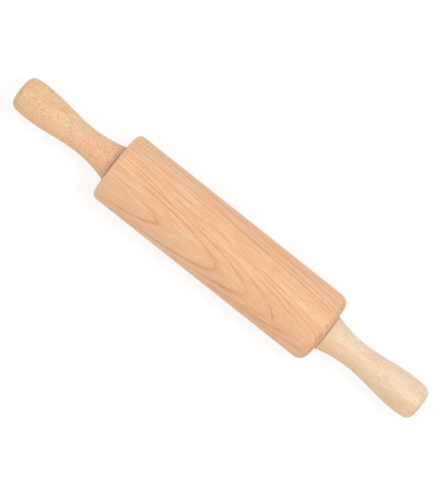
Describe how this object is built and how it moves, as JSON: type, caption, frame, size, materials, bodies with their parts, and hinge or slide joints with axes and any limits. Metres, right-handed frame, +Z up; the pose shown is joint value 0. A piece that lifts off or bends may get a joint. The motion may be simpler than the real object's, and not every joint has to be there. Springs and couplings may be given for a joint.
{
  "type": "rolling pin",
  "caption": "Wooden rolling pin with a rounded-edge barrel that spins on ball bearings between two fixed turned handles.",
  "frame": {"origin": "middle of the barrel, on the axis that it spins about", "axes": "+X along the pin towards the right-hand handle, +Z up with the pin lying level, +Y away from a person who holds it"},
  "size_m": [0.3898, 0.06, 0.06],
  "materials": {
    "barrel_wood": "sanded and oiled, flat-sawn figure of nested arches",
    "left_handle_wood": "sanded beech with short dark flecks",
    "right_handle_wood": "sanded pale beech",
    "steel": "turned and brushed",
    "bearing_steel": "ground and polished",
    "pressed_steel": "pressed sheet",
    "nylon": "moulded, natural colour",
    "brass": "machined"
  },
  "bodies": {
    "axle_and_handles": {"axle": "steel", "left_handle": "left_handle_wood", "right_handle": "right_handle_wood", "left_insert": "brass", "right_insert": "brass", "left_washer": "steel", "right_washer": "steel", "left_inner_ring": "bearing_steel", "right_inner_ring": "bearing_steel"},
    "roller": {"barrel": "barrel_wood", "left_bearing_cup": "nylon", "right_bearing_cup": "nylon", "left_outer_ring": "bearing_steel", "right_outer_ring": "bearing_steel", "left_outboard_shield": "pressed_steel", "right_outboard_shield": "pressed_steel", "left_inboard_shield": "pressed_steel", "right_inboard_shield": "pressed_steel"},
    "left_ball_train": {"left_balls": "bearing_steel", "left_ball_cage": "pressed_steel"},
    "right_ball_train": {"right_balls": "bearing_steel", "right_ball_cage": "pressed_steel"}
  },
  "joints": [
    {"name": "barrel_spin", "type": "hinge", "parent": "axle_and_handles", "child": "roller", "pos_m": [0, 0, 0], "axis": [1, 0, 0], "continuous": true},
    {"name": "left_ball_train_spin", "type": "hinge", "parent": "axle_and_handles", "child": "left_ball_train", "pos_m": [-0.09825, 0, 0], "axis": [1, 0, 0], "continuous": true},
    {"name": "right_ball_train_spin", "type": "hinge", "parent": "axle_and_handles", "child": "right_ball_train", "pos_m": [0.09825, 0, 0], "axis": [1, 0, 0], "continuous": true}
  ],
  "couplings": [
    {"joint": "left_ball_train_spin", "follows": "barrel_spin", "ratio": 0.63233},
    {"joint": "right_ball_train_spin", "follows": "barrel_spin", "ratio": 0.63233}
  ]
}
